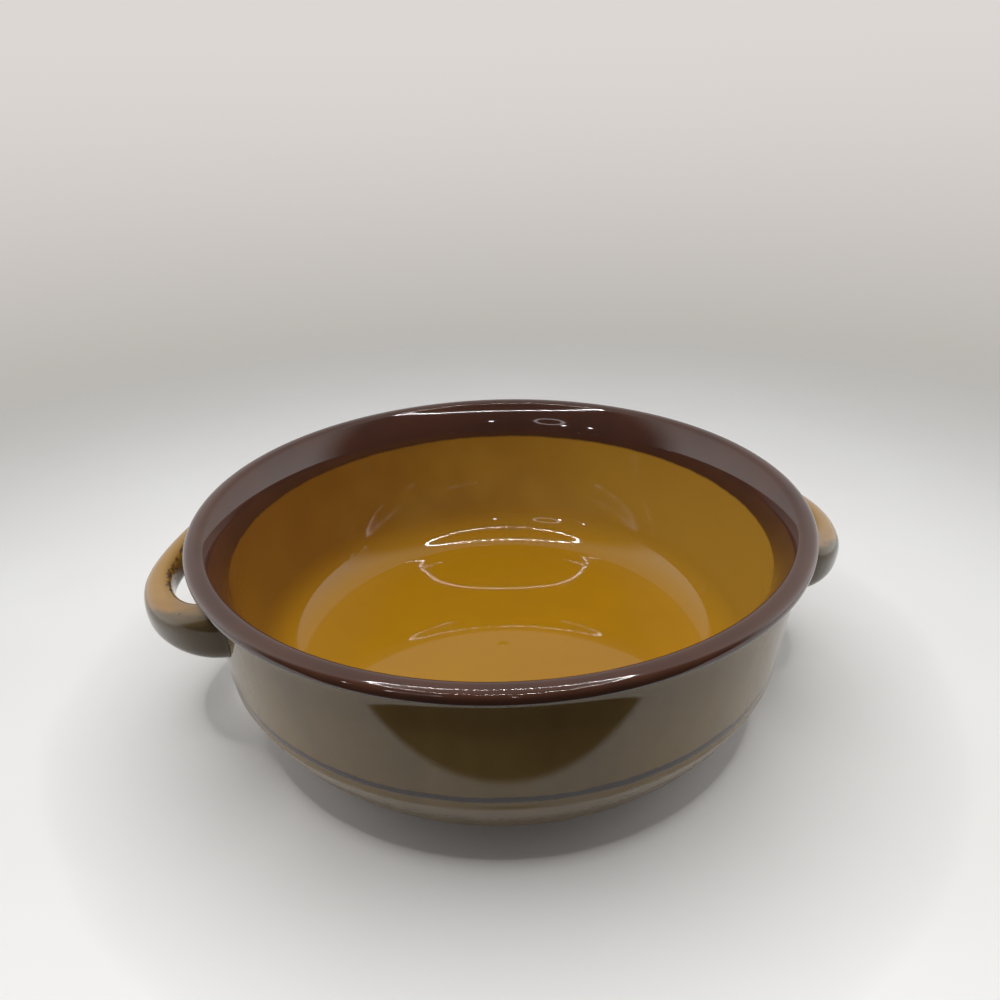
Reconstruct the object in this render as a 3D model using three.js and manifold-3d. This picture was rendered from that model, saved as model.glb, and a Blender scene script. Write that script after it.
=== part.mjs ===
// Two-handled stoneware serving bowl: thrown clay body, two clay loop handles and their fired coats.
// Millimetres, +Z up. The origin is the centre of the foot, on the surface that the bowl stands on.
// The handles lie along X.

import * as THREE from 'three';
import { mergeVertices } from 'three/addons/utils/BufferGeometryUtils.js';
import Module from 'manifold-3d';

// Height and rim
const HEIGHT = 89.4;
const BEAD_WIDTH = 7.7;
const BEAD_HEIGHT = 5.3;
const BEAD_OVERHANG = 3.8;
const BEAD_INNER_EDGE_DEG = 150;
const BAND_DEPTH = 17;

// Wall, knee and foot
const WALL_THICKNESS = 8.8;
const WALL_FLARE = 4.6;
const KNEE_RADIUS = 116.6;
const KNEE_HEIGHT = 36.8;
const LOWER_WALL_BULGE = 9;
const FOOT_TAPER = 28.6;
const FOOT_RING_WIDTH = 12;
const FOOT_RECESS = 2.5;
const FOOT_CHAMFER = 1;
const BARE_FOOT_HEIGHT = 3;

// The wall flares from the knee up to the rim, and tapers from it down to the foot
const WALL_TOP_RADIUS = KNEE_RADIUS + WALL_FLARE;
const RIM_RADIUS = WALL_TOP_RADIUS + BEAD_OVERHANG;
const FOOT_RADIUS = KNEE_RADIUS - FOOT_TAPER;

// Inside
const FLOOR_HEIGHT = 11.2;
const FLOOR_FILLET = 22;
const INSIDE_BEND_DEG = 15;

// Coats and joints
const COAT_THICKNESS = 0.5;
const COAT_GAP = 0.05;
const JOINT_GAP = 0.3;
const LINE_ABOVE_KNEE = 4.3;
const LINE_WIDTH = 2.2;
const LINE_THICKNESS = 0.25;

// Handles
const HANDLE_DROP = 17.6;
const HANDLE_HALF_SPAN = 46.5;
const HANDLE_DROOP_DEG = 12;
const HANDLE_TILT_DEG = 1.4;
const HANDLE_ROUNDNESS = 1.8;
const FINGER_GAP = 12;
const GRIP_THICKNESS = 11.2;
const GRIP_HEIGHT = 13.2;
const ROOT_THICKNESS = 12;
const ROOT_HEIGHT = 15.5;
const ROOT_SINK = 4.8;
const ROOT_FLARE = 4.5;
const ROOT_DEPTH = 1.5;
const SECTION_ROUNDNESS = 2.4;
const LEFT_BEARING_DEG = 184;
const RIGHT_BEARING_DEG = -4;

// Fineness of the facets
const TURN_STEPS = 64;
const BEAD_STEPS = 9;
const INSIDE_WALL_STEPS = 4;
const FILLET_STEPS = 7;
const LOWER_WALL_STEPS = 7;
const HANDLE_STEPS = 26;
const HANDLE_SIDES = 16;

const CLAY = { color: 0x8f8778, roughness: 0.85, metalness: 0 };
const HONEY = { color: 0xa8761c, roughness: 0.12, metalness: 0 };
const BROWN = { color: 0x4a3230, roughness: 0.15, metalness: 0 };
const OLIVE = { color: 0x7a6845, roughness: 0.15, metalness: 0 };
const MUSTARD = { color: 0xa07832, roughness: 0.15, metalness: 0 };
const DARK_LINE = { color: 0x3c2c2e, roughness: 0.2, metalness: 0 };

const wasm = await Module();
wasm.setup();

// Outside radius of the straight wall above the knee, at a height
const wallTopHeight = HEIGHT - BEAD_HEIGHT;
const bandHeight = HEIGHT - BAND_DEPTH;
const wallLean = WALL_FLARE / (wallTopHeight - KNEE_HEIGHT);

function wallRadius(height) {
  return KNEE_RADIUS + wallLean * (height - KNEE_HEIGHT);
}

// Visible outside from the end of the glaze above the foot, over the knee, to the underside of the rim
function outsidePoints() {
  const low = new THREE.Vector2(FOOT_RADIUS, BARE_FOOT_HEIGHT);
  const knee = new THREE.Vector2(KNEE_RADIUS, KNEE_HEIGHT);
  const chord = knee.clone().sub(low);
  const outward = new THREE.Vector2(chord.y, -chord.x).normalize();
  const control = low.clone().add(knee).divideScalar(2).addScaledVector(outward, LOWER_WALL_BULGE);
  const lowerWall = new THREE.QuadraticBezierCurve(low, control, knee);
  return [...lowerWall.getPoints(LOWER_WALL_STEPS), new THREE.Vector2(WALL_TOP_RADIUS, wallTopHeight)];
}

// Visible rim: the rolled bead, then the sloping band down to the liner glaze
function rimPoints() {
  const bead = new THREE.EllipseCurve(
    RIM_RADIUS - BEAD_WIDTH / 2, HEIGHT - BEAD_HEIGHT / 2, BEAD_WIDTH / 2, BEAD_HEIGHT / 2,
    -Math.PI / 2, THREE.MathUtils.degToRad(BEAD_INNER_EDGE_DEG));
  return [...bead.getPoints(BEAD_STEPS).slice(1),
    new THREE.Vector2(wallRadius(bandHeight) - WALL_THICKNESS, bandHeight)];
}

// Visible inside: wall that bends in from upright, fillet tangent to wall and floor, flat floor to the axis
function insidePoints() {
  const bend = THREE.MathUtils.degToRad(INSIDE_BEND_DEG);
  const filletDrop = FLOOR_FILLET * (1 - Math.sin(bend));
  const wallCurve = (bandHeight - FLOOR_HEIGHT - filletDrop) / Math.sin(bend);
  const wall = new THREE.EllipseCurve(
    wallRadius(bandHeight) - WALL_THICKNESS - wallCurve, bandHeight, wallCurve, wallCurve, 0, -bend, true);
  const fillet = new THREE.EllipseCurve(
    wall.getPoint(1).x - FLOOR_FILLET * Math.cos(bend), FLOOR_HEIGHT + FLOOR_FILLET,
    FLOOR_FILLET, FLOOR_FILLET, -bend, -Math.PI / 2, true);
  return [...wall.getPoints(INSIDE_WALL_STEPS).slice(1, -1), ...fillet.getPoints(FILLET_STEPS),
    new THREE.Vector2(0, FLOOR_HEIGHT)];
}

// Moves an outline sideways, to its right-hand side when the distance is positive
function shifted(points, distance) {
  return points.map((point, i) => {
    const before = points[Math.max(i - 1, 0)];
    const after = points[Math.min(i + 1, points.length - 1)];
    const normalIn = rightOf(before, point);
    const normalOut = rightOf(point, after);
    const first = normalIn ?? normalOut;
    const second = normalOut ?? normalIn;
    const middle = first.clone().add(second).normalize();
    const reach = i === points.length - 1 ? 1 : 1 / middle.dot(first);
    return point.clone().addScaledVector(i === points.length - 1 ? first : middle, distance * reach);
  });
}

function rightOf(from, to) {
  if (from === to) return null;
  return new THREE.Vector2(to.y - from.y, from.x - to.x).normalize();
}

// Turns an outline round the Z axis
function turned(points) {
  const geometry = new THREE.LatheGeometry(points, TURN_STEPS);
  geometry.rotateX(Math.PI / 2);
  return geometry;
}

const outside = outsidePoints();
const rim = rimPoints();
const inside = insidePoints();
const outline = [...outside, ...rim, ...inside];
const coatBack = shifted(outline, -COAT_THICKNESS);
const clayFace = shifted(outline, -(COAT_THICKNESS + COAT_GAP));

// Coat over the stretch of the outline between two of its points
function coat(first, last) {
  const face = outline.slice(first, last + 1);
  const back = coatBack.slice(first, last + 1).reverse();
  const endsOnAxis = last === outline.length - 1;
  return turned(endsOnAxis ? [...back, ...face] : [...face, ...back, face[0]]);
}

// Clay body with a flat foot ring round a shallow recess
function clayBody() {
  const footRadius = FOOT_RADIUS - COAT_THICKNESS - COAT_GAP;
  const footInner = FOOT_RADIUS - FOOT_RING_WIDTH;
  const foot = [
    new THREE.Vector2(0, FOOT_RECESS),
    new THREE.Vector2(footInner - FOOT_RECESS, FOOT_RECESS),
    new THREE.Vector2(footInner, 0),
    new THREE.Vector2(footRadius - FOOT_CHAMFER, 0),
    new THREE.Vector2(footRadius, FOOT_CHAMFER),
  ];
  return turned([...foot, ...clayFace]);
}

// Painted line on the straight wall, just above the knee
function paintedLine() {
  const low = KNEE_HEIGHT + LINE_ABOVE_KNEE - LINE_WIDTH / 2;
  const high = low + LINE_WIDTH;
  const face = COAT_GAP + LINE_THICKNESS;
  const corners = [
    new THREE.Vector2(wallRadius(low) + COAT_GAP, low),
    new THREE.Vector2(wallRadius(low) + face, low),
    new THREE.Vector2(wallRadius(high) + face, high),
    new THREE.Vector2(wallRadius(high) + COAT_GAP, high),
  ];
  return turned([...corners, corners[0]]);
}

function power(value, exponent) {
  return Math.sign(value) * Math.abs(value) ** exponent;
}

// Loop handle at a bearing: a capped cylinder bent along a rounded loop, with roots that flare and sink.
// tiltDeg raises its left-hand root, seen from the axis, and lowers the other.
// inset makes the same loop thinner all round, for the clay under the coat.
function handleLoop(bearingDeg, tiltDeg, inset) {
  const height = HEIGHT - HANDLE_DROP;
  const wall = wallRadius(height);
  const rootReach = HANDLE_HALF_SPAN + ROOT_THICKNESS / 2;
  const rootRadius = Math.sqrt(wall ** 2 - rootReach ** 2) - ROOT_DEPTH;
  const gripRadius = wall + FINGER_GAP + GRIP_THICKNESS / 2;
  const droop = Math.tan(THREE.MathUtils.degToRad(HANDLE_DROOP_DEG));
  const tilt = Math.tan(THREE.MathUtils.degToRad(tiltDeg));
  const loop = (turn) => new THREE.Vector2(
    rootRadius + (gripRadius - rootRadius) * power(Math.cos(turn), 2 / HANDLE_ROUNDNESS),
    HANDLE_HALF_SPAN * power(Math.sin(turn), 2 / HANDLE_ROUNDNESS));

  const geometry = new THREE.CylinderGeometry(1, 1, 1, HANDLE_SIDES, HANDLE_STEPS);
  const place = geometry.attributes.position;
  const step = Math.PI / HANDLE_STEPS / 2;
  for (let i = 0; i < place.count; i += 1) {
    const turn = place.getY(i) * Math.PI;
    const centre = loop(turn);
    const ahead = loop(Math.min(turn + step, Math.PI / 2));
    const behind = loop(Math.max(turn - step, -Math.PI / 2));
    const along = ahead.sub(behind).normalize();
    const flare = Math.abs(Math.sin(turn)) ** ROOT_FLARE;
    const halfThickness = THREE.MathUtils.lerp(GRIP_THICKNESS, ROOT_THICKNESS, flare) / 2 - inset;
    const halfHeight = THREE.MathUtils.lerp(GRIP_HEIGHT, ROOT_HEIGHT, flare) / 2 - inset;
    const out = halfThickness * power(place.getX(i), 2 / SECTION_ROUNDNESS);
    const up = halfHeight * power(place.getZ(i), 2 / SECTION_ROUNDNESS);
    const radius = centre.x + out * along.y;
    const side = centre.y - out * along.x;
    const level = height - ROOT_SINK * flare - droop * (radius - wall) + tilt * side;
    place.setXYZ(i, radius, side, level + up);
  }
  geometry.rotateZ(THREE.MathUtils.degToRad(bearingDeg));
  return geometry;
}

function solidOf(geometry) {
  const bare = geometry.clone();
  bare.deleteAttribute('normal');
  bare.deleteAttribute('uv');
  const merged = mergeVertices(bare);
  const corners = merged.index.array;
  const kept = [];
  for (let i = 0; i < corners.length; i += 3) {
    const [a, b, c] = corners.slice(i, i + 3);
    if (a !== b && b !== c && c !== a) kept.push(a, b, c);
  }
  return new wasm.Manifold(new wasm.Mesh({
    numProp: 3,
    vertProperties: Float32Array.from(merged.attributes.position.array),
    triVerts: Uint32Array.from(kept),
  }));
}

function geometryOf(solid) {
  const mesh = solid.getMesh();
  const geometry = new THREE.BufferGeometry();
  geometry.setAttribute('position', new THREE.BufferAttribute(mesh.vertProperties, 3));
  geometry.setIndex(new THREE.BufferAttribute(mesh.triVerts, 1));
  geometry.computeVertexNormals();
  return geometry;
}

// Everything inside the bowl's outside face, with the joint gap, that a handle root is cut back to
function seatCutter() {
  const face = shifted([...outside, ...rim.slice(0, BEAD_STEPS)], JOINT_GAP);
  const bottom = new THREE.Vector2(0, face[0].y);
  const top = new THREE.Vector2(0, face[face.length - 1].y);
  return solidOf(turned([bottom, ...face, top]));
}

const bowl = new THREE.Group();

function addPiece(name, geometry, look) {
  const mesh = new THREE.Mesh(geometry, new THREE.MeshStandardMaterial(look));
  mesh.name = name;
  bowl.add(mesh);
}

const lastOutside = outside.length - 1;
const lastRim = lastOutside + rim.length;
addPiece('bowl_body', clayBody(), CLAY);
addPiece('outer_glaze', coat(0, lastOutside), OLIVE);
addPiece('rim_glaze', coat(lastOutside, lastRim), BROWN);
addPiece('inner_glaze', coat(lastRim, outline.length - 1), HONEY);
addPiece('painted_line', paintedLine(), DARK_LINE);

const seat = seatCutter();
for (const [name, bearing, tilt] of [
  ['left_handle', LEFT_BEARING_DEG, HANDLE_TILT_DEG],
  ['right_handle', RIGHT_BEARING_DEG, -HANDLE_TILT_DEG],
]) {
  const clay = solidOf(handleLoop(bearing, tilt, COAT_THICKNESS + COAT_GAP));
  const coatInner = solidOf(handleLoop(bearing, tilt, COAT_THICKNESS));
  const coatOuter = solidOf(handleLoop(bearing, tilt, 0));
  addPiece(name, geometryOf(clay.subtract(seat)), CLAY);
  addPiece(`${name}_glaze`, geometryOf(coatOuter.subtract(coatInner).subtract(seat)), MUSTARD);
}

export default bowl;
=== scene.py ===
"""Two-handled stoneware serving bowl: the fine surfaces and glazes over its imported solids."""

from math import pi, radians, tan

import bpy
import numpy as np
from bpy.props import FloatProperty, FloatVectorProperty, IntProperty, PointerProperty
from bpy.types import Operator, Panel, PropertyGroup
from mathutils import Matrix


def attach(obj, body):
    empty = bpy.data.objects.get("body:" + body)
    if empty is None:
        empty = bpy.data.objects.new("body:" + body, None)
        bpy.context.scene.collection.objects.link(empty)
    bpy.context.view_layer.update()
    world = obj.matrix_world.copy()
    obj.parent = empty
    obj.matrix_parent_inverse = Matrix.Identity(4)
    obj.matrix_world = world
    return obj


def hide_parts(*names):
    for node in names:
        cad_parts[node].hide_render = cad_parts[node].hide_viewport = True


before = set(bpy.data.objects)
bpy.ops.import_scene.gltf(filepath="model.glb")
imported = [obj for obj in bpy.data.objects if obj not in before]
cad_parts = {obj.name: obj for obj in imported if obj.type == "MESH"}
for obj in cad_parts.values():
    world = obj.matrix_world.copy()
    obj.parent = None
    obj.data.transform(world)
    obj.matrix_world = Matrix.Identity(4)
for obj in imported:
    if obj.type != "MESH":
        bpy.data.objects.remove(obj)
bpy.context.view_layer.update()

bl_info = {
    "name": "Two-handled serving bowl",
    "version": (1, 0, 0),
    "blender": (4, 5, 0),
    "location": "View3D > Sidebar > Bowl",
    "description": "Builds a glazed stoneware serving bowl with two loop handles",
    "category": "Add Mesh",
}

MM = 0.001


def length(name, description, millimetres):
    """A size in millimetres, kept in metres."""
    return FloatProperty(name=name, description=description, default=millimetres * MM,
                         min=0.0, precision=5, subtype="DISTANCE", unit="LENGTH")


def angle(name, description, degrees):
    return FloatProperty(name=name, description=description, default=radians(degrees),
                         subtype="ANGLE", unit="ROTATION")


def ratio(name, description, value):
    return FloatProperty(name=name, description=description, default=value, min=0.0)


def count(name, description, value):
    return IntProperty(name=name, description=description, default=value, min=3)


def colour(name, description, value):
    return FloatVectorProperty(name=name, description=description, default=value,
                               size=3, min=0.0, max=1.0, subtype="COLOR")


class BowlSizes(PropertyGroup):
    """Sizes of the thrown bowl and its coats"""
    height: length("Height", "Foot to the top of the rim", 89.4)
    bead_width: length("Bead width", "Width of the rolled rim", 7.7)
    bead_height: length("Bead height", "Height of the rolled rim", 5.3)
    bead_overhang: length("Bead overhang", "How far the rim stands out over the wall", 3.8)
    bead_section: ratio("Bead section", "Power of the rolled rim's rounded section", 2.7)
    bead_crease: angle("Bead crease", "Where the rolled rim turns into the band inside", 150)
    band_depth: length("Band depth", "Top of the rim to the lower edge of the brown band", 17)
    wall: length("Wall", "Thickness of the straight wall", 8.8)
    wall_flare: length("Wall flare", "How far the wall leans out from the knee to the rim", 4.6)
    knee_radius: length("Knee radius", "Radius where the wall turns in to the foot", 116.6)
    knee_height: length("Knee height", "Height of the knee", 36.8)
    knee_ridge: length("Knee ridge", "How proud the turned ridge at the knee stands", 0.2)
    lower_bulge: length("Lower bulge", "Bulge of the wall below the knee", 9)
    foot_taper: length("Foot taper", "Knee radius less foot radius", 28.6)
    foot_ring: length("Foot ring", "Width of the ring that the bowl stands on", 12)
    foot_recess: length("Foot recess", "Depth of the recess in the foot", 2.5)
    foot_chamfer: length("Foot chamfer", "Trimmed corner of the foot", 1)
    bare_foot: length("Bare foot", "Unglazed height above the table", 3)
    floor: length("Floor", "Height of the inside floor", 11.2)
    fillet: length("Fillet", "Radius where the inside wall meets the floor", 22)
    inside_bend: angle("Inside bend", "Lean of the inside wall where it meets the fillet", 15)
    pip_height: length("Pip height", "Height of the turning mark on the axis", 0.25)
    pip_radius: length("Pip radius", "Radius of the turning mark on the axis", 2.2)
    coat: length("Coat", "Thickness of the glaze", 0.5)
    line_above_knee: length("Line above knee", "Height of the painted line over the knee", 4.3)
    line_width: length("Line width", "Width of the painted line", 3.8)
    line_thickness: length("Line thickness", "Thickness of the painted line", 0.05)
    turn_steps: count("Turn steps", "Facets round the bowl", 288)


class HandleSizes(PropertyGroup):
    """Sizes of the two loop handles"""
    drop: length("Drop", "Top of the rim to the middle of the handle", 17.6)
    half_span: length("Half span", "Half the distance between the roots", 46.5)
    droop: angle("Droop", "How far the loop hangs below level", 12)
    tilt: angle("Tilt", "How far the front root lies above the back one", 1.4)
    roundness: ratio("Roundness", "Power of the loop's rounded outline", 1.8)
    finger_gap: length("Finger gap", "Wall to the inside of the grip", 12)
    grip_thickness: length("Grip thickness", "Thickness of the grip", 11.2)
    grip_height: length("Grip height", "Height of the grip", 13.2)
    root_thickness: length("Root thickness", "Thickness at the wall", 14.4)
    root_height: length("Root height", "Height at the wall", 21)
    root_reach: length("Root reach", "Middle of the loop to the outside of a root", 52.5)
    root_lean: length("Root lean", "How far the top of a root leans outwards", 1.7)
    root_sink: length("Root sink", "How far the roots bend down", 1.6)
    root_flare: ratio("Root flare", "Power that keeps the flare close to the wall", 4.5)
    root_depth: length("Root depth", "How far the loop reaches into the wall", 1.5)
    section: ratio("Section", "Power of the grip's rounded section", 2.7)
    root_section: ratio("Root section", "Power of the upper half of the section at the wall", 4.5)
    seam_flare: length("Seam flare", "Height of the fillet of slip at the seam", 0.4)
    seam_reach: length("Seam reach", "How far that fillet runs out along the handle", 0.7)
    seam_gap: length("Seam gap", "Clearance to the wall", 0.05)
    left_bearing: angle("Left bearing", "Where the left handle stands", 184)
    right_bearing: angle("Right bearing", "Where the right handle stands", -4)
    steps: count("Steps", "Facets along a handle", 120)
    sides: count("Sides", "Facets round a handle", 56)


class BowlColours(PropertyGroup):
    """Colours of the glazes and the clay"""
    honey: colour("Honey", "Liner glaze where it lies even", (0.385, 0.188, 0.006))
    # Deep honey: the glaze's deeper clouds on the floor, and painted shade on the left of the wall
    honey_deep_and_shade: colour("Deep honey", "Liner glaze where it lies thick", (0.205, 0.090, 0.016))
    # Pale honey: painted light and painted sheen on the right of the wall
    honey_painted_light: colour("Pale honey", "Liner glaze where it runs thin", (0.385, 0.220, 0.032))
    brown: colour("Brown", "Rim glaze", (0.050, 0.022, 0.016))
    brown_break: colour("Breaking brown", "Rim glaze where it runs thin", (0.105, 0.040, 0.020))
    olive: colour("Olive mustard", "Glaze of the wall", (0.245, 0.155, 0.045))
    # Deep olive: the glaze's deeper runs, and painted shade on the wall below the knee
    olive_deep_and_shade: colour("Deep olive", "Glaze of the wall where it lies thick", (0.150, 0.092, 0.026))
    mustard: colour("Mustard", "Glaze of the handles", (0.27, 0.140, 0.030))
    mustard_deep: colour("Deep mustard", "Glaze of the handles where it lies thick", (0.105, 0.072, 0.034))
    mustard_pale: colour("Pale mustard", "Glaze on the top of the handles", (0.33, 0.190, 0.050))
    speck: colour("Speck", "Iron specks and pinholes", (0.035, 0.018, 0.012))
    line: colour("Line", "Pigment of the painted line", (0.050, 0.030, 0.032))
    clay: colour("Clay", "Bare fired clay", (0.42, 0.36, 0.28))
    clay_dark: colour("Toasted clay", "Bare clay at the edge of the glaze", (0.30, 0.20, 0.12))


class StageSettings(PropertyGroup):
    """Floor, light and camera"""
    floor_colour: colour("Floor", "Colour of the floor", (0.90, 0.905, 0.91))
    backdrop: colour("Backdrop", "Colour behind the bowl, high up", (0.72, 0.68, 0.65))
    backdrop_low: colour("Low backdrop", "Colour behind the bowl, low down", (0.46, 0.44, 0.41))
    tent_colour: colour("Tent", "Colour of the tent's light", (1.0, 1.0, 0.99))
    tent_left: ratio("Tent left", "Light from the left of the tent", 1.7)
    tent_right: ratio("Tent right", "Light from the right of the tent", 1.75)
    tent_back: ratio("Tent back", "Light from the back of the tent", 0.5)
    tent_front: ratio("Tent front", "Light from the open front of the tent", 0.04)
    tent_top: ratio("Tent top", "Light from the top of the tent", 0.52)
    lens: FloatProperty(name="Lens", description="Focal length on a 36 mm sensor", default=27.36,
                        subtype="DISTANCE_CAMERA", unit="CAMERA")
    camera_place: FloatVectorProperty(name="Camera place", description="Where the camera stands",
                                      default=(-0.04325, -0.28277, 0.22768), size=3,
                                      subtype="TRANSLATION", unit="LENGTH", precision=5)
    camera_pitch: angle("Camera pitch", "How far the camera looks down", 26.237)
    camera_yaw: angle("Camera yaw", "How far the camera looks to the right", 8.75)
    camera_roll: angle("Camera roll", "How far the camera leans to the right", 1.61)
    ring_radius: length("Ring radius", "Radius of the overhead ring lamp", 166.5)
    ring_height: length("Ring height", "Height of the ring lamp over the table", 430)
    ring_forward: length("Ring forward", "How far the ring lamp stands towards the camera", 73.5)
    ring_left: length("Ring left", "How far the ring lamp stands to the left", 6)
    ring_lights: count("Ring lights", "Small lights in the ring lamp", 110)
    ring_light_size: length("Ring light size", "Side of each small light", 3.6)
    ring_strength: ratio("Ring strength", "Brightness of each small light", 350)
    ring_colour: colour("Ring colour", "Colour of the ring lamp", (1.0, 0.98, 0.95))
    front_edge: length("Front edge", "Bowl's axis to the front edge of the lit floor", 149)
    lamp_bearing: angle("Lamp bearing", "How far left of the camera the front lamp stands", 26.5)
    lamp_height: angle("Lamp height", "How high the front lamp stands", 27.5)
    lamp_distance: length("Lamp distance", "Bowl to the front lamp", 1200)
    lamp_radius: length("Lamp radius", "Radius of the front lamp", 150)
    lamp_opening: length("Lamp opening", "Radius of the hole in the front lamp", 118)
    lamp_strength: ratio("Lamp strength", "Brightness of the front lamp", 4.5)
    small_lamp_radius: length("Small lamp radius", "Radius of the small lamps", 18)
    small_lamp_strength: ratio("Small lamp strength", "Brightness of the small lamps", 60)
    lamp_colour: colour("Lamp colour", "Colour of the front lamp and the small lamps", (1.0, 0.95, 1.0))


# Outlines of the bowl: radius and height, from the foot up the outside, over the rim and down the inside

# Points along each stretch of the outlines
LOWER_POINTS = 40
WALL_POINTS = 70
COVE_POINTS = 24
BEAD_POINTS = 64
BAND_POINTS = 40
BEND_POINTS = 40
FILLET_POINTS = 48
FLOOR_POINTS = 70
RECESS_POINTS = 40
RECESS_SIDE_POINTS = 12
RING_POINTS = 16
CORNER_POINTS = 8
# Points closer than this are taken as one
SAME_POINT = 0.0001 * MM
# Where the rolled rim starts, as an angle round its section
BEAD_START = radians(-70)
# Height of the cove under the rim
COVE = 6.6 * MM
# Where the brown band bends, as shares of its width and its height from its lower edge
BAND_BEND = np.array([0.15, 0.55])
# How far the knee's ridge lies below the knee
RIDGE_DROP = 0.4 * MM
# How far the ridge reaches up and down
RIDGE_REACH = 1.6 * MM


def bezier(start, control, end, steps):
    """Points (1-t)^2 start + 2t(1-t) control + t^2 end for t from 0 to 1."""
    t = np.linspace(0.0, 1.0, steps)[:, None]
    return (1 - t) ** 2 * np.array(start) + 2 * t * (1 - t) * np.array(control) + t ** 2 * np.array(end)


def straight(start, end, steps):
    t = np.linspace(0.0, 1.0, steps)[:, None]
    return (1 - t) * np.array(start) + t * np.array(end)


def arc(centre, radius, start, end, steps):
    """Points centre + radius (cos, sin) for angles from start to end."""
    turn = np.linspace(start, end, steps)
    return np.array(centre) + radius * np.stack([np.cos(turn), np.sin(turn)], -1)


def joined(*runs):
    """Runs of points one after another, without the points that repeat."""
    points = np.concatenate(runs)
    apart = np.linalg.norm(np.diff(points, axis=0), axis=1) > SAME_POINT
    return points[np.concatenate([[True], apart])]


def power(value, exponent):
    return np.sign(value) * np.abs(value) ** exponent


def wall_radius(size, height):
    """Outside radius of the straight wall: knee radius plus the flare's share at a height."""
    rise = size.height - size.bead_height - size.knee_height
    return size.knee_radius + size.wall_flare * (height - size.knee_height) / rise


def bead_point(size, turn):
    """Point of the rolled rim's rounded section, out cos(turn)^(2/section) by up sin(turn)^(2/section);
    on the inside it is a plain ellipse."""
    rim_radius = size.knee_radius + size.wall_flare + size.bead_overhang
    share = np.where(np.cos(turn) > 0, 2 / size.bead_section, 1.0)
    out = power(np.cos(turn), share) - 1
    up = power(np.sin(turn), share) - 1
    return np.stack([rim_radius + size.bead_width / 2 * out, size.height + size.bead_height / 2 * up], -1)


def outside_outline(size):
    """Lower wall bulging from foot to knee, straight wall, cove under the rim; at the knee a
    ridge, ridge height times exp(-(distance / reach)^2), is added to the radius."""
    foot_radius = size.knee_radius - size.foot_taper
    low = np.array([foot_radius, size.bare_foot])
    knee = np.array([size.knee_radius, size.knee_height])
    chord = knee - low
    outward = np.array([chord[1], -chord[0]]) / np.linalg.norm(chord)
    lower = bezier(low, (low + knee) / 2 + outward * size.lower_bulge, knee, LOWER_POINTS)
    top = bead_point(size, BEAD_START)
    corner = size.height - size.bead_height
    under = corner - COVE
    wall = straight(knee, (wall_radius(size, under), under), WALL_POINTS)
    cove = bezier(wall[-1], (wall_radius(size, corner), corner), top, COVE_POINTS)
    points = joined(lower, wall, cove)
    away = (points[:, 1] - size.knee_height + RIDGE_DROP) / RIDGE_REACH
    points[:, 0] += size.knee_ridge * np.exp(-away ** 2)
    return points


def rim_outline(size):
    """Rolled rim from its underside over the top to the crease, then the band, which bends upright
    towards the liner."""
    bead = bead_point(size, np.linspace(BEAD_START, size.bead_crease, BEAD_POINTS))
    low = size.height - size.band_depth
    end = np.array([wall_radius(size, low) - size.wall, low])
    bend = end + BAND_BEND * (bead[-1] - end)
    return joined(bead, bezier(bead[-1], bend, end, BAND_POINTS))


def inside_outline(size):
    """Arc that bends the wall in from upright, fillet that touches it and the floor, flat floor to the
    axis, where a turning mark, its height times exp(-(radius / its radius)^2), is added."""
    top = size.height - size.band_depth
    drop = size.fillet * (1 - np.sin(size.inside_bend))
    curve = (top - size.floor - drop) / np.sin(size.inside_bend)
    middle = (wall_radius(size, top) - size.wall - curve, top)
    wall = arc(middle, curve, 0.0, -size.inside_bend, BEND_POINTS)
    centre = (wall[-1, 0] - size.fillet * np.cos(size.inside_bend), size.floor + size.fillet)
    fillet = arc(centre, size.fillet, -size.inside_bend, -pi / 2, FILLET_POINTS)
    points = joined(wall, fillet, straight(fillet[-1], (0.0, size.floor), FLOOR_POINTS))
    points[:, 1] += size.pip_height * np.exp(-(points[:, 0] / size.pip_radius) ** 2)
    return points


def foot_outline(size):
    """Recess under the bowl from the axis out, its curved side, the ring that the bowl stands on and the
    rounded corner of the foot."""
    foot = size.knee_radius - size.foot_taper - size.coat
    inner = size.knee_radius - size.foot_taper - size.foot_ring
    recess = (inner - size.foot_recess, size.foot_recess)
    bend = (inner - size.foot_recess / 2, size.foot_recess)
    corner = (foot - size.foot_chamfer, 0.0)
    return joined(straight((0.0, size.foot_recess), recess, RECESS_POINTS),
                  bezier(recess, bend, (inner, 0.0), RECESS_SIDE_POINTS),
                  straight((inner, 0.0), corner, RING_POINTS),
                  bezier(corner, (foot, 0.0), (foot, size.foot_chamfer), CORNER_POINTS))


def shifted(points, distance):
    """Outline moved by a distance to its right-hand side, square to its own direction."""
    along = np.gradient(points, axis=0)
    along /= np.linalg.norm(along, axis=1, keepdims=True)
    return points + distance * np.stack([along[:, 1], -along[:, 0]], -1)


# Meshes

# Edges that turn more than this stay sharp
SHARP_EDGE = radians(50)


def turned(outline, steps):
    """Grid of points: each outline point (radius, height) at every angle round the Z axis."""
    turn = np.linspace(0.0, 2 * pi, steps, endpoint=False)
    radius, height = outline[:, :1], outline[:, 1:]
    return np.stack([radius * np.cos(turn), radius * np.sin(turn), height + 0 * turn], -1)


def faces_of(rows, columns, ring):
    """Four-cornered faces of a grid that closes on itself sideways, and also lengthways for a ring."""
    row = np.arange(rows if ring else rows - 1)[:, None]
    column = np.arange(columns)
    after = (row + 1) % rows * columns
    beside = (column + 1) % columns
    corners = [row * columns + column, row * columns + beside, after + beside, after + column]
    return np.stack(corners, -1).reshape(-1, 4)


def facing_out(points, quads):
    """Faces, turned round if their volume, the sum of a . (b x c) over the halves, is negative."""
    a, b, c, d = (points[quads[:, corner]] for corner in range(4))
    volume = np.sum(a * (np.cross(b, c) + np.cross(c, d)))
    return quads[:, ::-1] if volume < 0 else quads


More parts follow.
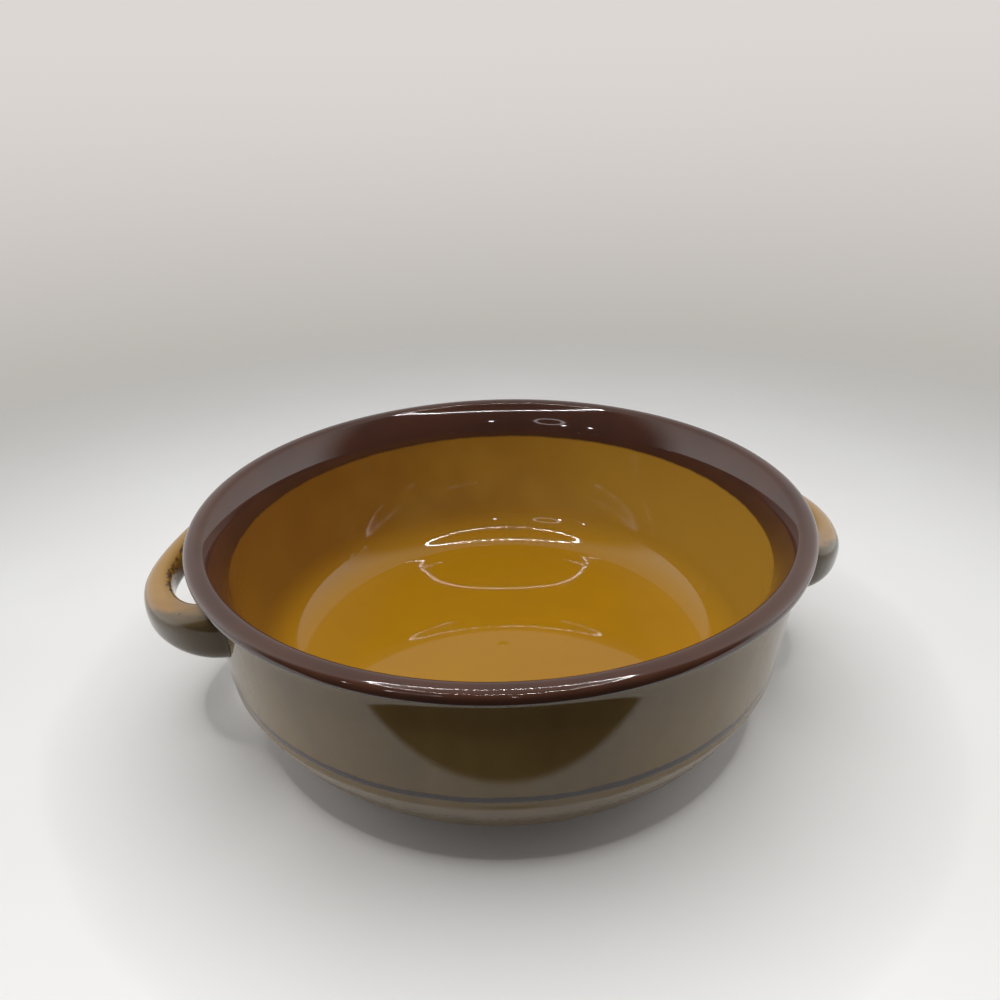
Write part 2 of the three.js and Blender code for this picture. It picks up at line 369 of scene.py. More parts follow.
def add_piece(name, grid, ring, marks):
    """Closed mesh of a grid; without a ring its first and last rows are single points on the axis.
    marks are values for each point of the grid, by name. Faces are turned to point outwards."""
    rows, columns = grid.shape[:2]
    points = grid.reshape(-1, 3)
    quads = facing_out(points, faces_of(rows, columns, ring))
    number = np.arange(len(points))
    if not ring:
        number[:columns] = 0
        number[columns:] -= columns - 1
        number[-columns:] = number[-columns]
    kept = np.unique(number, return_index=True)[1]
    quads = number[quads]
    doubled = quads == np.roll(quads, -1, axis=1)
    whole = ~doubled.any(axis=1)
    fans = quads[~whole][~doubled[~whole]].reshape(-1, 3)
    mesh = bpy.data.meshes.new(name)
    mesh.from_pydata(points[kept].tolist(), [], quads[whole].tolist() + fans.tolist())
    mesh.polygons.foreach_set("use_smooth", np.ones(len(mesh.polygons), bool))
    for mark, values in marks.items():
        spread = np.broadcast_to(values, (rows, columns)).reshape(-1)[kept]
        attribute = mesh.attributes.new(mark, "FLOAT", "POINT")
        attribute.data.foreach_set("value", spread.astype(np.float32))
    mesh.set_sharp_from_angle(angle=SHARP_EDGE)
    mesh.validate()
    piece = bpy.data.objects.new(name, mesh)
    bpy.context.scene.collection.objects.link(piece)
    return piece


def finish_piece(piece, material, slot, *nodes):
    """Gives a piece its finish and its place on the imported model."""
    piece.data.materials.append(material)
    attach(piece, "root")
    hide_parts(*nodes)


def coat_ring(size, face):
    """Closed outline of a coat: its face, then its back, one coat's thickness behind."""
    return np.concatenate([face, shifted(face, -size.coat)[::-1]])


def both_sides(values):
    """Values of a coat's face, repeated for its back."""
    return np.concatenate([values, values[::-1]])[:, None]


def run_length(points):
    """Distance along an outline from its first point."""
    return np.concatenate([[0.0], np.cumsum(np.linalg.norm(np.diff(points, axis=0), axis=1))])


def waver(steps, *waves):
    """Sum of sines round the bowl: (height, waves round, phase) each."""
    turn = np.linspace(0.0, 2 * pi, steps, endpoint=False)
    return sum(height * np.sin(number * turn + phase) for height, number, phase in waves)


# Finishes

# Index of refraction of the bowl, and of the handles' softer glaze
SURFACE_INDEX = 1.5
HANDLE_INDEX = 1.3
# Depth of the grain in each finish
GLAZE_GRAIN = 0.01 * MM
LINE_GRAIN = 0.005 * MM
CLAY_GRAIN = 0.12 * MM
# Solid core of a speck, as a share of its size
SPECK_CORE = 0.5
# Width of the step between cells with and without a speck
SPECK_STEP = 0.02


class Nodes:
    """A node tree, with short ways to add and join its nodes."""

    def __init__(self, tree, place):
        self.tree = tree
        self.place = tree.nodes.new("ShaderNodeTexCoord").outputs[place]

    def fill(self, socket, value):
        """Links a socket's value, or sets any other value or colour."""
        if isinstance(value, bpy.types.NodeSocket):
            self.tree.links.new(value, socket)
        elif socket.type == "RGBA":
            socket.default_value = (*value, 1.0)
        else:
            socket.default_value = value

    def node(self, kind, inputs, **settings):
        """New node with its settings, and its inputs filled by name or number."""
        node = self.tree.nodes.new(kind)
        for name, value in settings.items():
            setattr(node, name, value)
        for name, value in inputs.items():
            self.fill(node.inputs[name], value)
        return node

    def noise(self, scale, detail=3.0, rough=0.55, stretch=(1.0, 1.0, 1.0)):
        """Soft noise from 0 to 1, finer along an axis with more stretch."""
        place = self.node("ShaderNodeMapping", {"Vector": self.place, "Scale": stretch}).outputs[0]
        return self.node("ShaderNodeTexNoise", {"Vector": place, "Scale": scale, "Detail": detail,
                                                "Roughness": rough}).outputs[0]

    def mark(self, name):
        """Value that the mesh carries at each point."""
        return self.node("ShaderNodeAttribute", {}, attribute_name=name).outputs["Fac"]

    def spread(self, value, low, high, to_low=0.0, to_high=1.0):
        """Value carried smoothly from one range to another."""
        return self.node("ShaderNodeMapRange", {"Value": value, "From Min": low, "From Max": high,
                                                "To Min": to_low, "To Max": to_high},
                         interpolation_type="SMOOTHSTEP").outputs[0]

    def math(self, operation, first, second):
        return self.node("ShaderNodeMath", {0: first, 1: second}, operation=operation).outputs[0]

    def mix(self, share, first, second):
        """First colour where the share is 0, second where it is 1."""
        node = self.node("ShaderNodeMix", {"Factor": share}, data_type="RGBA")
        slots = [socket for socket in node.inputs if socket.type == "RGBA"]
        self.fill(slots[0], first)
        self.fill(slots[1], second)
        return next(socket for socket in node.outputs if socket.type == "RGBA")

    def specks(self, scale, size, share):
        """Round specks on some cells of a cellular pattern, 1 inside a speck."""
        cells = self.node("ShaderNodeTexVoronoi", {"Vector": self.place, "Scale": scale})
        inside = self.spread(cells.outputs["Distance"], size, size * SPECK_CORE)
        chosen = self.spread(cells.outputs["Color"], 1.0 - share, 1.0 - share + SPECK_STEP)
        return self.math("MULTIPLY", inside, chosen)


class Finish(Nodes):
    """A material on the Object coordinates of its piece."""

    def __init__(self, name, index=SURFACE_INDEX):
        self.material = bpy.data.materials.new(name)
        self.material.use_nodes = True
        super().__init__(self.material.node_tree, "Object")
        self.shader = self.tree.nodes["Principled BSDF"]
        self.shader.inputs["IOR"].default_value = index

    def done(self, base, roughness, bump=None, bump_height=0.0):
        """The finished material, with its colour, roughness and, where there is one, its grain."""
        self.fill(self.shader.inputs["Base Color"], base)
        self.fill(self.shader.inputs["Roughness"], roughness)
        if bump is not None:
            normal = self.node("ShaderNodeBump", {"Height": bump, "Distance": bump_height})
            self.fill(self.shader.inputs["Normal"], normal.outputs[0])
        return self.material


def honey_finish(colours):
    """Clear amber glaze with soft clouds, painted shade on the left of the wall and painted light and
    sheen on its right, brown bleeding in at the rim and a few specks."""
    finish = Finish("honey_glaze")
    cloud = finish.noise(26, detail=2)
    across = finish.node("ShaderNodeSeparateXYZ", {0: finish.place}).outputs["X"]
    # Painted shade on the left of the wall and painted light with sheen on its right, set by X with a
    # ragged edge
    drift = finish.math("ADD", across, finish.spread(cloud, 0.3, 0.7, -20 * MM, 20 * MM))
    wall = finish.mix(finish.spread(drift, -110 * MM, 110 * MM), colours.honey_deep_and_shade, colours.honey_painted_light)
    floor = finish.mix(finish.spread(cloud, 0.35, 0.75, 0.0, 0.12), colours.honey, colours.honey_deep_and_shade)
    base = finish.mix(finish.mark("upright"), floor, wall)
    ragged = finish.spread(finish.noise(110), 0.2, 0.8, -0.25 * MM, 0.25 * MM)
    bleed = finish.math("ADD", finish.mark("below_rim"), ragged)
    base = finish.mix(finish.spread(bleed, 1.6 * MM, 0.0), base, colours.brown)
    base = finish.mix(finish.specks(120, size=0.06, share=0.04), base, colours.speck)
    gloss = finish.spread(finish.noise(420), 0.3, 0.7, 0.015, 0.04)
    return finish.done(base, gloss, cloud, GLAZE_GRAIN)


def brown_finish(colours):
    """Dark iron glaze, rippled, a little duller on the band, that breaks to red brown where it runs thin
    over the rolled rim."""
    finish = Finish("brown_glaze")
    cloud = finish.spread(finish.noise(30, detail=2), 0.3, 0.7, 0.0, 0.25)
    base = finish.mix(cloud, colours.brown, colours.brown_break)
    patches = finish.spread(finish.noise(70), 0.25, 0.75, 0.2, 0.8)
    thin = finish.math("MULTIPLY", finish.mark("thin"), patches)
    base = finish.mix(thin, base, colours.brown_break)
    base = finish.mix(finish.specks(200, size=0.08, share=0.06), base, colours.speck)
    gloss = finish.spread(finish.mark("band"), 0.0, 1.0, 0.05, 0.12)
    return finish.done(base, gloss, finish.noise(190), GLAZE_GRAIN)


def olive_finish(colours):
    """Olive-mustard glaze of the wall, deeper in faint runs, with painted shade and duller below the knee,
    and toasted at its lower edge."""
    finish = Finish("olive_glaze")
    runs = finish.noise(40, rough=0.5, stretch=(1.0, 1.0, 0.35))
    base = finish.mix(finish.spread(runs, 0.3, 0.75, 0.0, 0.6), colours.olive, colours.olive_deep_and_shade)
    # Painted shade: the wall below the knee, which faces down, is darkened
    base = finish.mix(finish.mark("below_knee"), base, colours.olive_deep_and_shade)
    base = finish.mix(finish.mark("lower_edge"), base, colours.clay_dark)
    base = finish.mix(finish.specks(150, size=0.08, share=0.06), base, colours.speck)
    gloss = finish.spread(finish.noise(420, detail=2), 0.3, 0.7, 0.03, 0.06)
    dull = finish.spread(finish.mark("below_knee"), 0.0, 1.0, 0.0, 0.25)
    return finish.done(base, finish.math("ADD", gloss, dull), runs, GLAZE_GRAIN)


def mustard_finish(colours):
    """Mustard glaze of the handles, pale on top, that breaks to a spotted edge and is dark olive below,
    with iron crumbs along the inner top edge."""
    finish = Finish("mustard_glaze", HANDLE_INDEX)
    cloud = finish.noise(80)
    grain = finish.noise(520, detail=4, rough=0.65)
    top = finish.math("ADD", finish.mark("top"), finish.spread(cloud, 0.3, 0.7, -0.12, 0.12))
    base = finish.mix(finish.spread(top, -0.3, 0.25), colours.mustard_deep, colours.mustard)
    base = finish.mix(finish.spread(top, 0.4, 1.0, 0.0, 0.7), base, colours.mustard_pale)
    beside = finish.spread(finish.math("ABSOLUTE", top, 0.0), 0.35, 0.1)
    spots = finish.math("MULTIPLY", finish.specks(260, size=0.22, share=0.3), beside)
    base = finish.mix(spots, base, colours.brown)
    patches = finish.spread(finish.noise(150, detail=2), 0.35, 0.6, -0.35, 0.1)
    crumbs = finish.math("ADD", finish.mark("inner_edge"), finish.spread(grain, 0.3, 0.7, -0.6, 0.3))
    crumbs = finish.math("ADD", crumbs, patches)
    base = finish.mix(finish.spread(crumbs, 0.5, 0.8, 0.0, 0.8), base, colours.brown)
    base = finish.mix(finish.specks(330, size=0.11, share=0.08), base, colours.speck)
    return finish.done(base, finish.spread(grain, 0.3, 0.7, 0.03, 0.08), grain, GLAZE_GRAIN)


def line_finish(colours):
    """Brushed pigment, thin and broken at both edges where the wall's glaze shows through."""
    finish = Finish("line_pigment")
    brushed = finish.noise(240, detail=4, rough=0.6, stretch=(1.0, 1.0, 2.5))
    worn = finish.math("ADD", finish.mark("from_middle"), finish.spread(brushed, 0.25, 0.75, -0.12, 0.12))
    base = finish.mix(finish.spread(worn, 0.4, 1.0), colours.line, colours.olive)
    return finish.done(base, finish.spread(brushed, 0.3, 0.7, 0.04, 0.09), brushed, LINE_GRAIN)


def clay_finish(colours):
    """Bare stoneware: buff with fine iron grain, sandy, with turning rings."""
    finish = Finish("bare_clay")
    cloud = finish.noise(60, detail=4)
    base = finish.mix(finish.spread(cloud, 0.3, 0.75), colours.clay, colours.clay_dark)
    base = finish.mix(finish.specks(900, size=0.28, share=0.25), base, colours.speck)
    wave = {"Vector": finish.place, "Scale": 130, "Distortion": 1.5, "Detail": 2.0}
    rings = finish.node("ShaderNodeTexWave", wave, wave_type="RINGS", rings_direction="Z").outputs["Fac"]
    grain = finish.math("MULTIPLY", finish.noise(1600), rings)
    return finish.done(base, finish.spread(cloud, 0.3, 0.7, 0.7, 0.9), grain, CLAY_GRAIN)


# Handles

# Step along a handle's turn, to both sides, that gives its direction
TURN_STEP = 0.02
# Places along a handle that are tried for its seam with the wall
SEAM_TRIES = 2401


def handle_surface(size, loop, tilt, turn, around, swell):
    """Rounded section carried along a loop. The loop runs out from root to grip as cos(turn)^(2/roundness)
    and across as sin(turn)^(2/roundness). The section is out cos(around)^(2/section) by up
    sin(around)^(2/section), squarer at the top of the roots and leaning out there, with swell added to
    both half sizes. The level falls with droop and root sink."""
    height = size.height - loop.drop
    wall = wall_radius(size, height)
    root = np.sqrt(wall ** 2 - loop.root_reach ** 2) - loop.root_depth
    grip = wall + loop.finger_gap + loop.grip_thickness / 2
    bend = 2 / loop.roundness

    def middle(at):
        return root + (grip - root) * power(np.cos(at), bend), loop.half_span * power(np.sin(at), bend)

    ahead = middle(np.minimum(turn + TURN_STEP, pi / 2))
    behind = middle(np.maximum(turn - TURN_STEP, -pi / 2))
    along = np.stack([ahead[0] - behind[0], ahead[1] - behind[1]])
    along = along / np.hypot(along[0], along[1])
    flare = np.abs(np.sin(turn)) ** loop.root_flare
    thick = loop.grip_thickness + (loop.root_thickness - loop.grip_thickness) * flare
    high = loop.grip_height + (loop.root_height - loop.grip_height) * flare
    share = 2 / (loop.section + (loop.root_section - loop.section) * flare * (np.sin(around) > 0))
    rise = power(np.sin(around), share)
    out = (thick / 2 + swell) * power(np.cos(around), share) + loop.root_lean * flare * rise
    up = (high / 2 + swell) * rise
    centre = middle(turn)
    radius = centre[0] + out * along[1]
    side = centre[1] - out * along[0]
    level = height - loop.root_sink * flare - tan(loop.droop) * (radius - wall) + tan(tilt) * side
    return np.stack([radius, side, level + up], -1)


def clearance(size, loop, points):
    """How far points lie outside the bowl's outline, past the seam's gap."""
    outline = outside_outline(size)
    wall = np.interp(points[..., 2], outline[:, 1], outline[:, 0])
    return np.hypot(points[..., 0], points[..., 1]) - wall - loop.seam_gap


def seamed_handle(size, loop, tilt, turn, around, inset):
    """Handle surface with a fillet of slip at the wall: seam flare times exp(-clearance / seam reach)."""
    bare = handle_surface(size, loop, tilt, turn, around, -inset)
    near = np.exp(-np.maximum(clearance(size, loop, bare), 0.0) / loop.seam_reach)
    return handle_surface(size, loop, tilt, turn, around, loop.seam_flare * near - inset)


def trimmed_handle(size, loop, tilt, inset):
    """The handle's surface between its two seams: each lengthwise line is cut where it meets the wall,
    and its points stand at shares 0.5 + 0.5 sin(t) of what is left, closer near the seams."""
    around = np.linspace(0.0, 2 * pi, loop.sides, endpoint=False)[None, :]
    fine = np.linspace(-pi / 2, pi / 2, SEAM_TRIES)[:, None]
    outside = clearance(size, loop, seamed_handle(size, loop, tilt, fine, around, inset)) > 0
    start = fine[np.argmax(outside, axis=0), 0]
    end = fine[len(fine) - 1 - np.argmax(outside[::-1], axis=0), 0]
    share = 0.5 + 0.5 * np.sin(np.linspace(-1.0, 1.0, loop.steps)[:, None] * pi / 2)
    turn = start + (end - start) * share
    return seamed_handle(size, loop, tilt, turn, around, inset), around


# Operators

# Gap between the clay and the glaze
CLAY_GAP = 0.05 * MM
# Where the clay is hidden, every so many points are kept
HIDDEN_STEP = 2
# Where the rim's glaze runs thin, as an angle round the rolled rim
THIN_TURN = radians(5)
# How far round the rim it stays thin
THIN_REACH = radians(32)
# How far the toasted edge reaches up the wall's glaze
TOAST_REACH = 0.8 * MM
# Rows across the face of the painted line
LINE_ROWS = 13
# How far the line's back stands off the wall's glaze
LINE_LIFT = 0.02 * MM
# Waves in the line's place and width: height, waves round the bowl, phase
LINE_DRIFT = ((0.10 * MM, 3, 0.4), (0.06 * MM, 11, 2.1), (0.05 * MM, 29, 1.0))
LINE_SWELL = ((0.12 * MM, 5, 1.3), (0.08 * MM, 17, 0.2))
# Where the crumbs lie across a handle, from -1 inside to 1 outside
CRUMB_PLACE = -0.70
# How far the crumbs reach across it
CRUMB_REACH = 0.26
# Where a handle's pale top ends at the front root, as an angle round its section
BREAK_TURN = radians(82)
# How far that angle falls over half the span, towards the back
BREAK_FALL = radians(138)
# Half spans in front of the middle where it starts to fall, left and right
BREAK_START = (1.0, 1.1)
# Least and greatest of that angle
BREAK_LIMITS = (radians(8), radians(84))


class BOWL_OT_clay_body(Operator):
    """Makes the thrown clay body, which shows at the foot"""
    bl_idname = "bowl.clay_body"
    bl_label = "Clay body"

    def execute(self, context):
        size, colours = context.scene.bowl_sizes, context.scene.bowl_colours
        skin = joined(outside_outline(size), rim_outline(size), inside_outline(size))
        hidden = shifted(skin, -size.coat - CLAY_GAP)[::HIDDEN_STEP]
        outline = joined(foot_outline(size), hidden)
        outline[-1, 0] = 0.0
        piece = add_piece("clay_body", turned(outline, size.turn_steps), False, {})
        finish_piece(piece, clay_finish(colours), "clay", "bowl_body")
        return {"FINISHED"}


class BOWL_OT_honey_liner(Operator):
    """Makes the liner glaze inside the bowl"""
    bl_idname = "bowl.honey_liner"
    bl_label = "Honey liner"

    def execute(self, context):
        size, colours = context.scene.bowl_sizes, context.scene.bowl_colours
        face = inside_outline(size)
        outline = np.concatenate([shifted(face, -size.coat)[::-1], face])
        outline[0, 0] = outline[-1, 0] = 0.0
        upright = np.clip((face[:, 1] - size.floor) / size.fillet, 0.0, 1.0)
        marks = {"upright": np.concatenate([upright[::-1], upright])[:, None],
                 "below_rim": np.concatenate([run_length(face)[::-1], run_length(face)])[:, None]}
        piece = add_piece("honey_liner", turned(outline, size.turn_steps), False, marks)
        finish_piece(piece, honey_finish(colours), "honey_glaze", "inner_glaze")
        return {"FINISHED"}


class BOWL_OT_brown_rim(Operator):
    """Makes the brown glaze over the rolled rim and the band inside it"""
    bl_idname = "bowl.brown_rim"
    bl_label = "Brown rim"

    def execute(self, context):
        size, colours = context.scene.bowl_sizes, context.scene.bowl_colours
        face = rim_outline(size)
        bead_turn = np.arctan2(face[:, 1] - size.height + size.bead_height / 2,
                               face[:, 0] - bead_point(size, 0.0)[0] + size.bead_width / 2)
        thin = np.exp(-((bead_turn - THIN_TURN) / THIN_REACH) ** 2)
        band = (face[:, 1] < size.height - size.bead_height / 2) & (bead_turn > pi / 2)
        piece = add_piece("brown_rim", turned(coat_ring(size, face), size.turn_steps), True,
                          {"thin": both_sides(thin), "band": both_sides(1.0 * band)})
        finish_piece(piece, brown_finish(colours), "brown_glaze", "rim_glaze")
        return {"FINISHED"}


class BOWL_OT_wall_coat(Operator):
    """Makes the glaze on the outside wall"""
    bl_idname = "bowl.wall_coat"
    bl_label = "Wall coat"

    def execute(self, context):
        size, colours = context.scene.bowl_sizes, context.scene.bowl_colours
        face = outside_outline(size)
        low = np.exp(-((face[:, 1] - size.bare_foot) / TOAST_REACH) ** 2)
        # Share below the knee, where the olive finish paints shade and turns duller
        below = np.clip((size.knee_height - face[:, 1]) / size.lower_bulge, 0.0, 1.0)
        piece = add_piece("wall_coat", turned(coat_ring(size, face), size.turn_steps), True,
                          {"lower_edge": both_sides(low), "below_knee": both_sides(below)})
        finish_piece(piece, olive_finish(colours), "olive_glaze", "outer_glaze")
        return {"FINISHED"}


class BOWL_OT_painted_line(Operator):
    """Makes the painted line above the knee"""
    bl_idname = "bowl.painted_line"
    bl_label = "Painted line"

    def execute(self, context):
        size, colours = context.scene.bowl_sizes, context.scene.bowl_colours
        across = np.linspace(-1.0, 1.0, LINE_ROWS)
        section = np.concatenate([across, across[-2:0:-1]])[:, None]
        drift = waver(size.turn_steps, *LINE_DRIFT)
        width = size.line_width / 2 + waver(size.turn_steps, *LINE_SWELL)
        middle = size.knee_height + size.line_above_knee
        height = middle + drift + section * width
        thick = size.line_thickness * (1 - across ** 2) ** 2
        proud = LINE_LIFT + np.concatenate([thick, 0 * across[-2:0:-1]])[:, None]
        turn = np.linspace(0.0, 2 * pi, size.turn_steps, endpoint=False)
        radius = wall_radius(size, height) + proud
        grid = np.stack([radius * np.cos(turn), radius * np.sin(turn), height], -1)
        piece = add_piece("brushed_line", grid, True, {"from_middle": np.abs(section)})
        finish_piece(piece, line_finish(colours), "line_paint", "painted_line")
        return {"FINISHED"}


class BOWL_OT_handles(Operator):
    """Makes the glaze on both loop handles and finishes the clay under it"""
    bl_idname = "bowl.handles"
    bl_label = "Handles"

    def execute(self, context):
        size, loop = context.scene.bowl_sizes, context.scene.bowl_handles
        finish = mustard_finish(context.scene.bowl_colours)
        clay = bpy.data.materials["bare_clay"]
        for side, bearing, tilt, start in (("left", loop.left_bearing, loop.tilt, BREAK_START[0]),
                                           ("right", loop.right_bearing, -loop.tilt, BREAK_START[1])):
            face, around = trimmed_handle(size, loop, tilt, 0.0)
            back = trimmed_handle(size, loop, tilt, size.coat)[0]
            grid = np.concatenate([face, back[::-1]]) @ np.array(Matrix.Rotation(bearing, 3, "Z")).T
            inner = np.exp(-((np.cos(around) - CRUMB_PLACE) / CRUMB_REACH) ** 2) * (np.sin(around) > 0)
            behind = grid[..., 1] / loop.half_span + start
            edge = np.clip(BREAK_TURN - BREAK_FALL * behind, *BREAK_LIMITS)
            marks = {"inner_edge": inner, "top": np.sin(around - edge)}
            piece = add_piece(side + "_handle_coat", grid, True, marks)
            finish_piece(piece, finish, "mustard_glaze", side + "_handle_glaze")
            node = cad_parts[side + "_handle"]
            node.data.materials.clear()
            node.data.materials.append(clay)
        return {"FINISHED"}


# Stage

# Radius and corners of the floor's disc
FLOOR_RADIUS = 1200 * MM
FLOOR_SIDES = 96
FLOOR_ROUGHNESS = 0.55
# Distances from the bowl between which the floor fades away
FLOOR_FADE = (280 * MM, 750 * MM)
# Half the width of the step at the lit floor's front edge
EDGE_BLUR = 2.5 * MM
# The floor past that edge, as reflections see it
UNLIT = (0.02, 0.019, 0.018)
# Rises of a line of sight between which the backdrop goes from low to high
HORIZON = (-0.35, 0.12)
# How far forward a direction points where the tent begins to open, and is open
OPENING = (-0.1, 0.3)
LAMP_SIDES = 48
# Bearing and height of each small lamp, in degrees
SMALL_LAMPS = ((-3.0, 28.0), (33.5, 20.5), (47.0, 20.5))
# Hole in a small lamp, as a share of its radius
SMALL_HOLE = 0.05
# Nearest that the camera sees
NEAR = 10 * MM


def glow(name, light_colour, strength):
    """Material that only gives light."""
    material = bpy.data.materials.new(name)
    material.use_nodes = True
    tree = material.node_tree
    tree.nodes.clear()
    light = tree.nodes.new("ShaderNodeEmission")
    light.inputs["Color"].default_value = (*light_colour, 1.0)
    light.inputs["Strength"].default_value = strength
    out = tree.nodes.new("ShaderNodeOutputMaterial")
    tree.links.new(light.outputs[0], out.inputs[0])
    return material


def add_stage_mesh(name, points, faces, material):
    """Mesh that belongs to the stage and not to the bowl."""
    mesh = bpy.data.meshes.new(name)
    mesh.from_pydata(points.tolist(), [], faces)
    mesh.materials.append(material)
    thing = bpy.data.objects.new(name, mesh)
    bpy.context.scene.collection.objects.link(thing)
    return thing


class BOWL_OT_stage(Operator):
    """Makes the floor, the lights and the camera"""
    bl_idname = "bowl.stage"
    bl_label = "Stage"

    def execute(self, context):
        scene, stage = context.scene, context.scene.bowl_stage
        scene.view_settings.view_transform = "Standard"
        self.add_floor(stage)
        self.add_ring_lamp(stage)
        self.add_front_lamps(stage)
        self.add_tent(scene, stage)
        self.add_camera(scene, stage)
        return {"FINISHED"}

    def turn_to_camera(self, stage, points):
        """Points given with -Y towards the camera, in the bowl's own axes."""
        return points @ np.array(Matrix.Rotation(-stage.camera_yaw, 3, "Z")).T

    def add_floor(self, stage):
        """Pale disc that fades into the backdrop with its distance from the bowl. Past the front edge of
        its lit part it is dark, except to the camera."""
        finish = Finish("pale_floor")
        away = finish.node("ShaderNodeVectorMath", {0: finish.place}, operation="LENGTH").outputs["Value"]
        front = self.turn_to_camera(stage, np.array([0.0, -1.0, 0.0])).tolist()
        forward = finish.node("ShaderNodeVectorMath", {0: finish.place, 1: front}, operation="DOT_PRODUCT")
        past = finish.spread(forward.outputs["Value"],
                             stage.front_edge - EDGE_BLUR, stage.front_edge + EDGE_BLUR)
        seen = finish.node("ShaderNodeLightPath", {}).outputs["Is Camera Ray"]
        hidden = finish.node("ShaderNodeMath", {0: past, 1: seen}, operation="SUBTRACT", use_clamp=True)
        cloud = finish.spread(finish.noise(9, detail=2), 0.3, 0.7, 0.0, 0.1)
        base = finish.mix(cloud, stage.floor_colour, stage.backdrop)
        base = finish.mix(hidden.outputs[0], base, UNLIT)
        finish.fill(finish.shader.inputs["Alpha"], finish.spread(away, FLOOR_FADE[1], FLOOR_FADE[0]))
        turn = np.linspace(0.0, 2 * pi, FLOOR_SIDES, endpoint=False)
        rim = np.stack([FLOOR_RADIUS * np.cos(turn), FLOOR_RADIUS * np.sin(turn), 0 * turn], -1)
        add_stage_mesh("floor", rim, [list(range(FLOOR_SIDES))], finish.done(base, FLOOR_ROUGHNESS))

    def add_ring_lamp(self, stage):
        """Small square lights on a circle over the bowl, facing down."""
        turn = np.linspace(0.0, 2 * pi, stage.ring_lights, endpoint=False)
        centres = np.stack([stage.ring_radius * np.cos(turn) - stage.ring_left,
                            stage.ring_radius * np.sin(turn) - stage.ring_forward,
                            stage.ring_height + 0 * turn], -1)
        corners = np.array([[-1, -1, 0], [-1, 1, 0], [1, 1, 0], [1, -1, 0]]) * stage.ring_light_size / 2
        points = self.turn_to_camera(stage, (centres[:, None] + corners).reshape(-1, 3))
        faces = np.arange(len(points)).reshape(-1, 4).tolist()
        light = glow("ring_light", stage.ring_colour, stage.ring_strength)
        add_stage_mesh("ring_lamp", points, faces, light).visible_camera = False

    def add_front_lamps(self, stage):
        """A flat ring of light on the left of the camera, and small round lamps beside it."""
        light = glow("lamp_light", stage.lamp_colour, stage.lamp_strength)
        radii = (stage.lamp_opening, stage.lamp_radius)
        self.add_lamp("front_lamp", stage, (stage.lamp_bearing, stage.lamp_height), radii, light)
        light = glow("small_light", stage.lamp_colour, stage.small_lamp_strength)
        radii = (SMALL_HOLE * stage.small_lamp_radius, stage.small_lamp_radius)
        for number, bearing in enumerate(np.radians(SMALL_LAMPS)):
            self.add_lamp(f"small_lamp_{number}", stage, bearing, radii, light)

    def add_lamp(self, name, stage, bearing, radii, light):
        """Flat ring between two radii, turned to face the bowl: turn @ (r cos t, r sin t, distance)."""
        aside, height = bearing
        facing = (Matrix.Rotation(-stage.camera_yaw - aside, 4, "Z")
                  @ Matrix.Rotation(pi / 2 - height, 4, "X")
                  @ Matrix.Translation((0.0, 0.0, stage.lamp_distance)))
        flat = turned(np.array([[radius, 0.0] for radius in radii]), LAMP_SIDES).reshape(-1, 3)
        points = np.column_stack([flat, np.ones(len(flat))]) @ np.array(facing).T
        faces = faces_of(2, LAMP_SIDES, False)[:, ::-1].tolist()
        add_stage_mesh(name, points[:, :3], faces, light).visible_camera = False

    def add_tent(self, scene, stage):
        """World: a white tent, open in front, with a pale backdrop for the camera. The light from a
        direction is the sum, over left, right, back and top, of its share that way, squared, times that
        side's level."""
        world = bpy.data.worlds.new("tent")
        scene.world = world
        world.use_nodes = True
        nodes = Nodes(world.node_tree, "Generated")
        to_camera = {"Vector": nodes.place, "Rotation": (0.0, 0.0, stage.camera_yaw)}
        turned_to = nodes.node("ShaderNodeMapping", to_camera)
        parts = nodes.node("ShaderNodeSeparateXYZ", {0: turned_to.outputs[0]}).outputs
        level = 0.0
        for part, sign, light in ((parts["X"], -1.0, stage.tent_left), (parts["X"], 1.0, stage.tent_right),
                                  (parts["Y"], 1.0, stage.tent_back), (parts["Z"], 1.0, stage.tent_top)):
            share = nodes.math("MAXIMUM", nodes.math("MULTIPLY", part, sign), 0.0)
            squared = nodes.math("MULTIPLY", share, share)
            level = nodes.math("ADD", level, nodes.math("MULTIPLY", squared, light))
        opened = nodes.spread(nodes.math("MULTIPLY", parts["Y"], -1.0), *OPENING)
        level = nodes.math("MULTIPLY", level, nodes.math("SUBTRACT", 1.0, opened))
        level = nodes.math("ADD", level, nodes.math("MULTIPLY", opened, stage.tent_front))
        scaled = {0: stage.tent_colour, "Scale": level}
        tent = nodes.node("ShaderNodeVectorMath", scaled, operation="SCALE").outputs[0]
        backdrop = nodes.mix(nodes.spread(parts["Z"], *HORIZON), stage.backdrop_low, stage.backdrop)
        seen = nodes.node("ShaderNodeLightPath", {}).outputs["Is Camera Ray"]
        nodes.fill(world.node_tree.nodes["Background"].inputs["Color"], nodes.mix(seen, tent, backdrop))

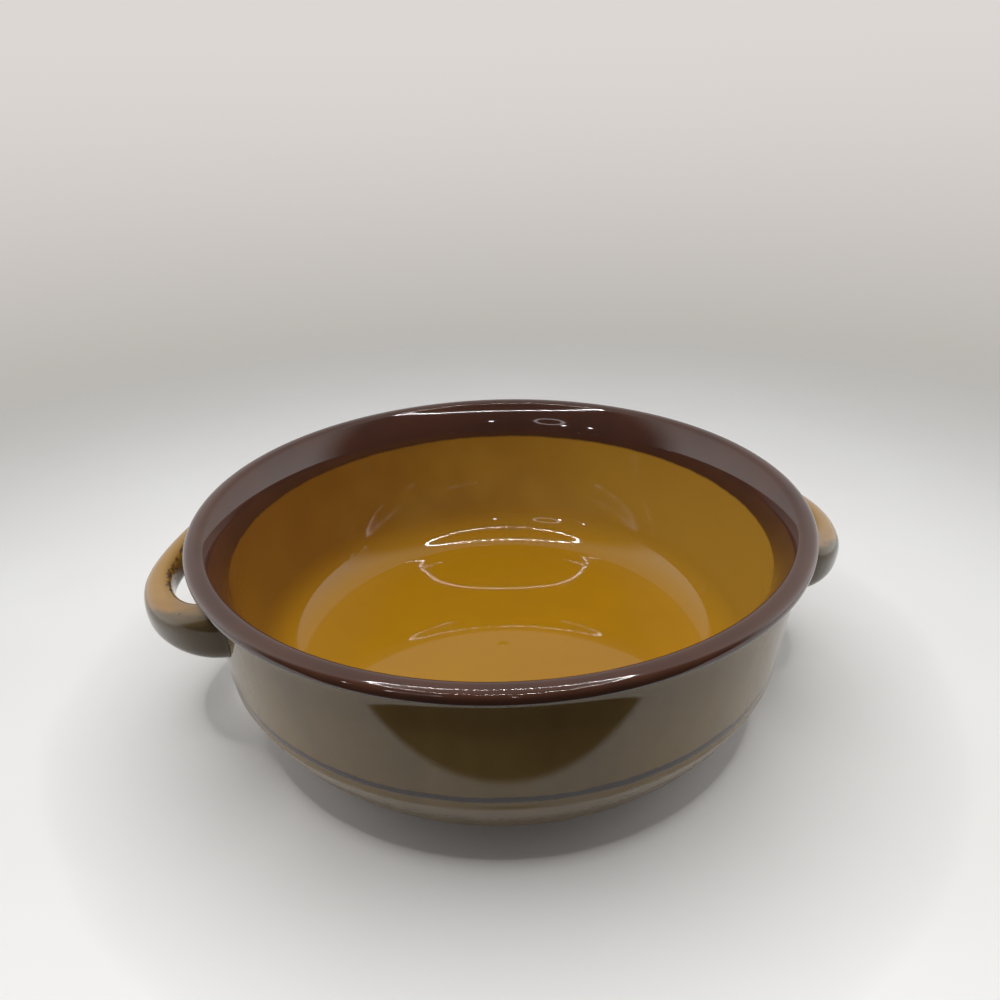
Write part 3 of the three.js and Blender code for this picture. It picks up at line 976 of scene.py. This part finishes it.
    def add_camera(self, scene, stage):
        camera = bpy.data.cameras.new("camera")
        camera.lens = stage.lens
        camera.clip_start = NEAR
        thing = bpy.data.objects.new("camera", camera)
        facing = (Matrix.Rotation(-stage.camera_yaw, 4, "Z")
                  @ Matrix.Rotation(pi / 2 - stage.camera_pitch, 4, "X")
                  @ Matrix.Rotation(-stage.camera_roll, 4, "Z"))
        thing.matrix_world = Matrix.Translation(stage.camera_place) @ facing
        scene.collection.objects.link(thing)
        scene.camera = thing


# Sidebar

GROUPS = {"bowl_sizes": BowlSizes, "bowl_handles": HandleSizes,
          "bowl_colours": BowlColours, "bowl_stage": StageSettings}
OPERATORS = (BOWL_OT_clay_body, BOWL_OT_honey_liner, BOWL_OT_brown_rim, BOWL_OT_wall_coat,
             BOWL_OT_painted_line, BOWL_OT_handles, BOWL_OT_stage)


class BOWL_PT_sidebar(Panel):
    """Lists the bowl's sizes, colours and steps"""
    bl_idname = "BOWL_PT_sidebar"
    bl_label = "Serving bowl"
    bl_space_type = "VIEW_3D"
    bl_region_type = "UI"
    bl_category = "Bowl"

    def draw(self, context):
        for operator in OPERATORS:
            self.layout.operator(operator.bl_idname)
        for group in GROUPS:
            box = self.layout.box()
            settings = getattr(context.scene, group)
            for name in settings.bl_rna.properties.keys():
                if name not in ("rna_type", "name"):
                    box.prop(settings, name)


def register():
    for group, kind in GROUPS.items():
        bpy.utils.register_class(kind)
        setattr(bpy.types.Scene, group, PointerProperty(type=kind))
    for kind in (*OPERATORS, BOWL_PT_sidebar):
        bpy.utils.register_class(kind)


def unregister():
    for kind in (BOWL_PT_sidebar, *reversed(OPERATORS)):
        bpy.utils.unregister_class(kind)
    for group, kind in GROUPS.items():
        delattr(bpy.types.Scene, group)
        bpy.utils.unregister_class(kind)


def main():
    register()
    bpy.ops.bowl.clay_body()
    bpy.ops.bowl.honey_liner()
    bpy.ops.bowl.brown_rim()
    bpy.ops.bowl.wall_coat()
    bpy.ops.bowl.painted_line()
    bpy.ops.bowl.handles()
    bpy.ops.bowl.stage()


if __name__ == "__main__":
    main()
